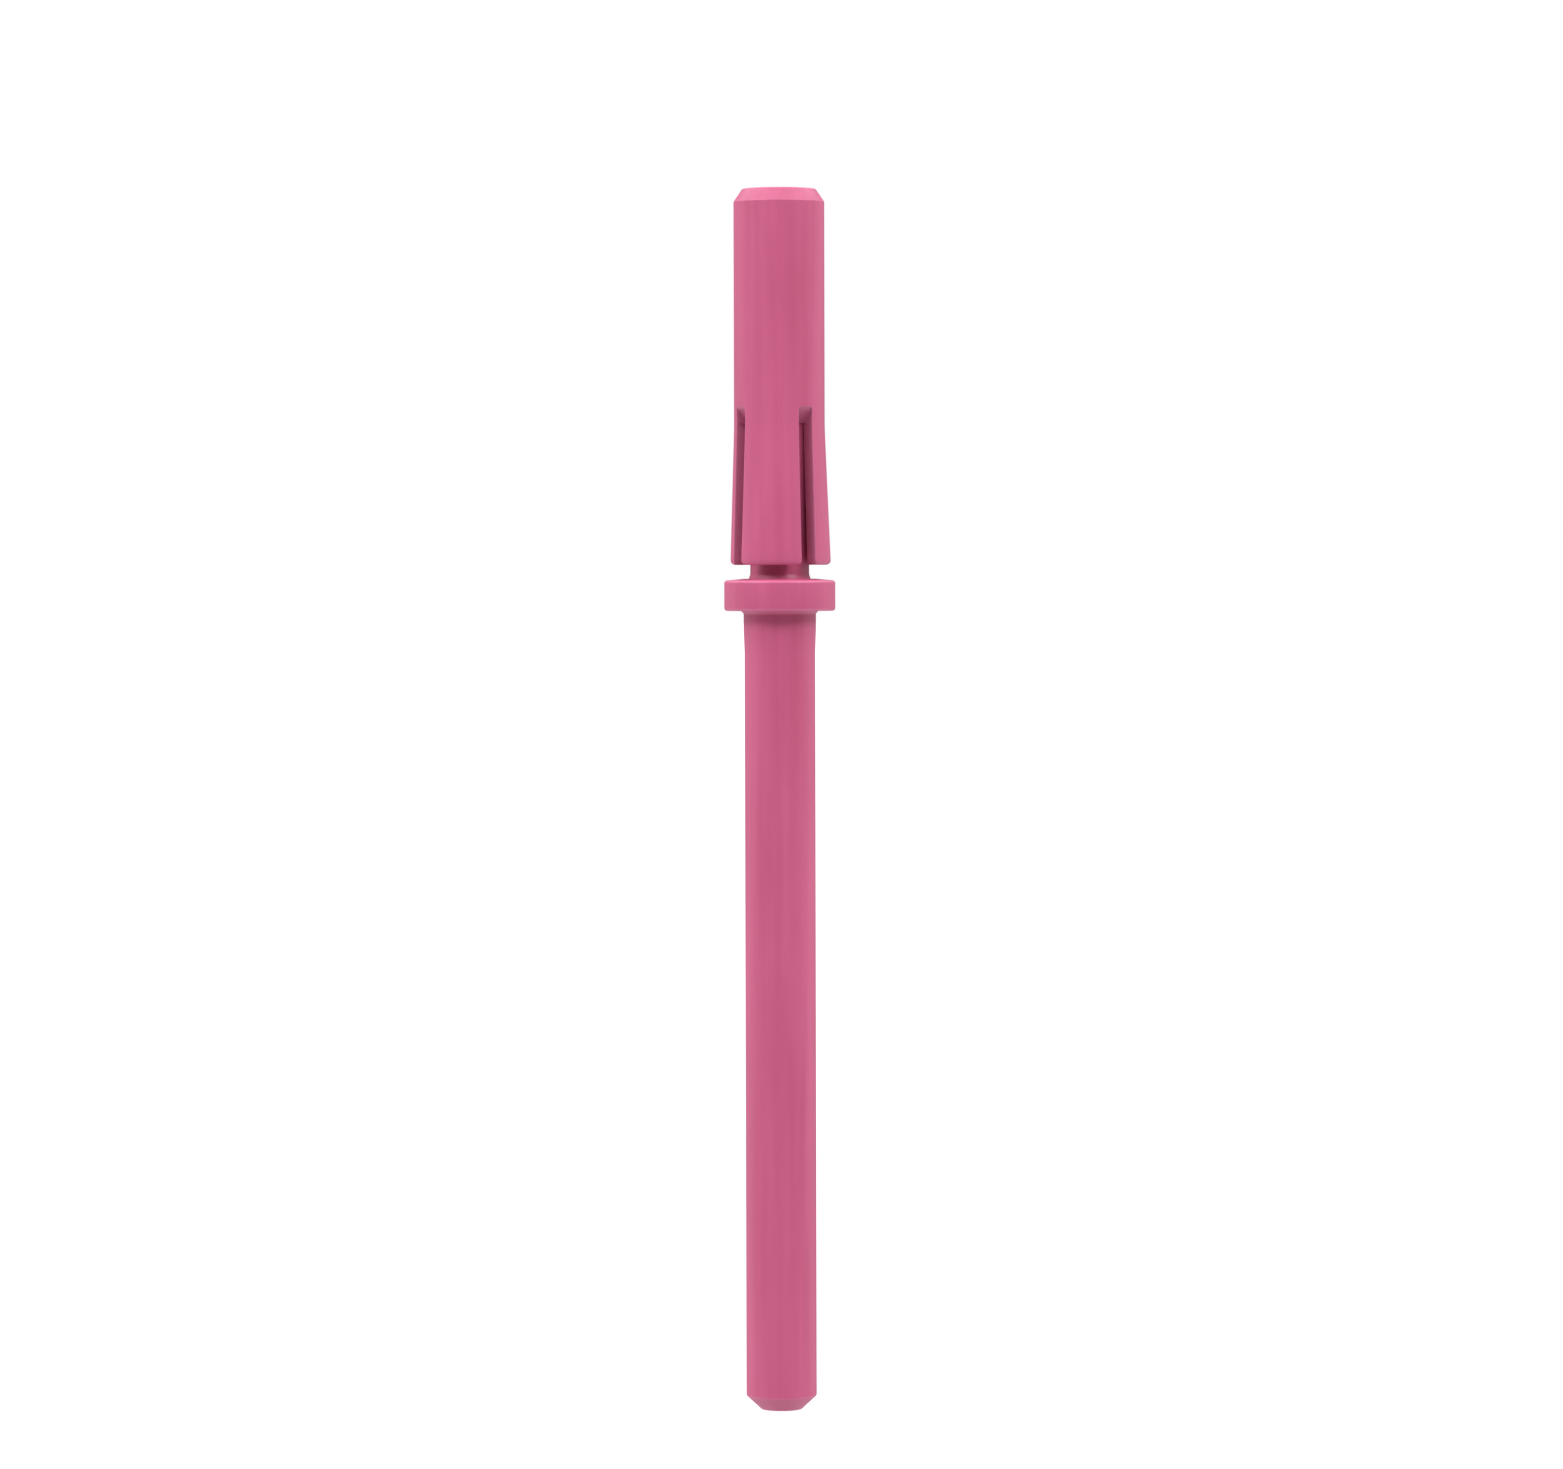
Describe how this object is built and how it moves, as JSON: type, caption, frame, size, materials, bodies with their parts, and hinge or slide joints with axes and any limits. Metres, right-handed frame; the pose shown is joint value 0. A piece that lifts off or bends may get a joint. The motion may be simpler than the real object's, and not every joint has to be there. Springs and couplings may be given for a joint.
{
  "type": "split mandrel",
  "caption": "Slim split mandrel: a plain shank with a stop collar and a slotted sleeve whose spring fingers grip the inside of a slip-on abrasive band.",
  "frame": {"origin": "centre of the shank's end face", "axes": "+Z along the spin axis from the shank's end towards the sleeve; -Y is the front, where one finger is 12 degrees to the left of the middle"},
  "size_m": [0.0037, 0.0036, 0.0407],
  "materials": {
    "coated_shank": "satin pink coating over turned steel",
    "coated_sleeve": "satin pink coating over turned steel"
  },
  "bodies": {
    "spindle_assembly": {"shank": "coated_shank", "stop_collar": "coated_shank", "sleeve_crown": "coated_sleeve"},
    "finger_front": {"finger_front": "coated_sleeve"},
    "finger_right": {"finger_right": "coated_sleeve"},
    "finger_back": {"finger_back": "coated_sleeve"},
    "finger_left": {"finger_left": "coated_sleeve"}
  },
  "joints": [
    {"name": "finger_front_flex", "type": "hinge", "parent": "spindle_assembly", "child": "finger_front", "pos_m": [-0.00025, -0.00119, 0.03289], "axis": [0.9781, -0.2079, 0], "range_deg": [0, 2.2], "stiffness_Nm_per_rad": 2.1},
    {"name": "finger_right_flex", "type": "hinge", "parent": "spindle_assembly", "child": "finger_right", "pos_m": [0.00119, -0.00025, 0.03289], "axis": [0.2079, 0.9781, 0], "range_deg": [0, 2.7], "stiffness_Nm_per_rad": 1.6},
    {"name": "finger_back_flex", "type": "hinge", "parent": "spindle_assembly", "child": "finger_back", "pos_m": [0.00025, 0.00119, 0.03289], "axis": [-0.9781, 0.2079, 0], "range_deg": [0, 2.2], "stiffness_Nm_per_rad": 2.1},
    {"name": "finger_left_flex", "type": "hinge", "parent": "spindle_assembly", "child": "finger_left", "pos_m": [-0.00119, 0.00025, 0.03289], "axis": [-0.2079, -0.9781, 0], "range_deg": [0, 1.9], "stiffness_Nm_per_rad": 1.6}
  ]
}
